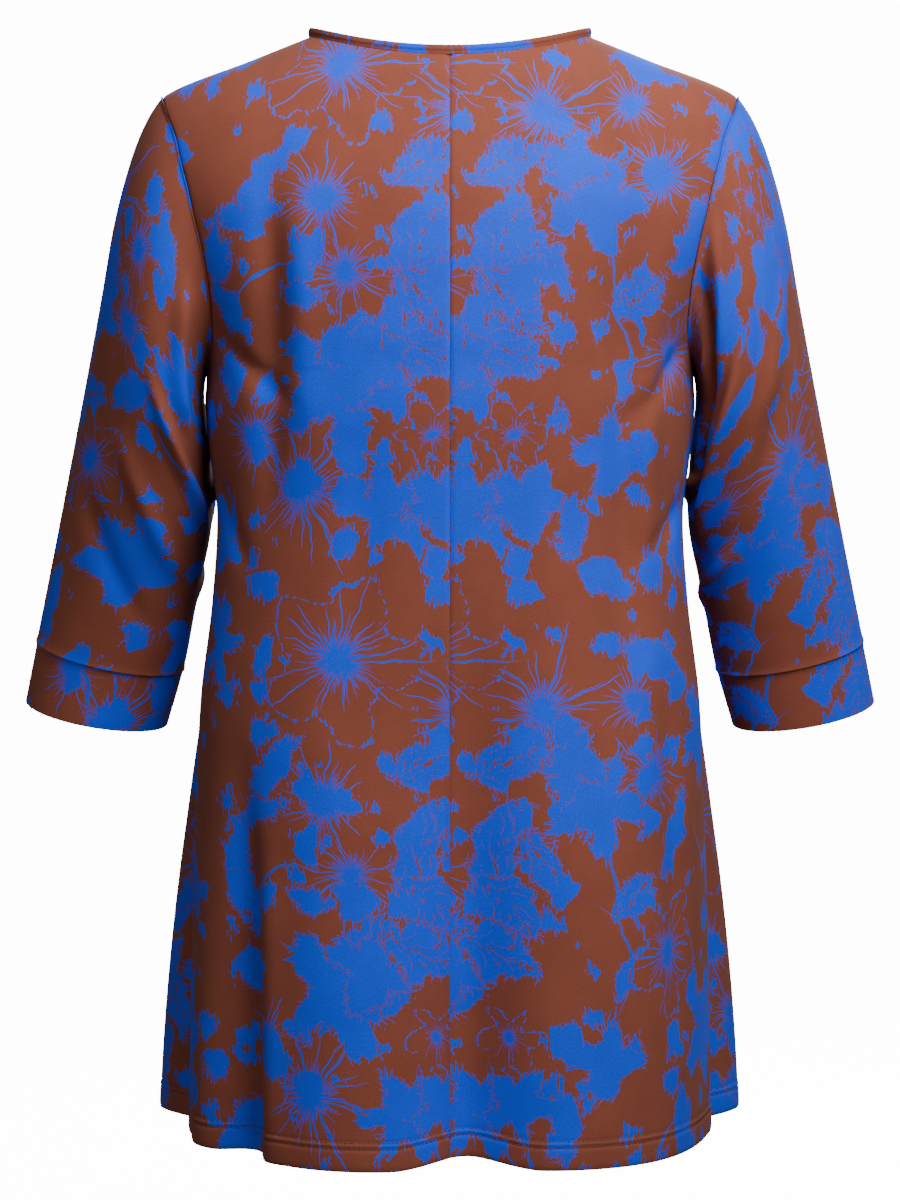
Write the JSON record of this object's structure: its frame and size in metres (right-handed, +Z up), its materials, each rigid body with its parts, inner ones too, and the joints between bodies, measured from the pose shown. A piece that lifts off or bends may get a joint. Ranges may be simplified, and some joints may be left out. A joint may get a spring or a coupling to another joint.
{
  "type": "tunic top",
  "caption": "Pull-on jersey tunic with a centre back seam, set-in three-quarter sleeves with turned cuffs, a bound round neck and a flared hem, open as worn.",
  "frame": {"origin": "midway between the two neck points, where the wearer's shoulders carry the garment", "axes": "+Z up towards the neck, +Y towards the wearer's front, +X towards the wearer's right, so the back faces -Y"},
  "size_m": [0.6382, 0.3085, 0.8165],
  "materials": {
    "printed_jersey": "matte knitted jersey, blue sketched flowers and leaves on rust brown",
    "binding_jersey": "the same jersey folded to a narrow binding, rust brown with blue patches",
    "sewing_thread": "fine matte polyester thread"
  },
  "bodies": {
    "root": {"back_left": "printed_jersey", "back_right": "printed_jersey", "front": "printed_jersey", "sleeve_left": "printed_jersey", "sleeve_right": "printed_jersey", "cuff_left": "printed_jersey", "cuff_right": "printed_jersey", "neck_binding": "binding_jersey"}
  },
  "joints": []
}
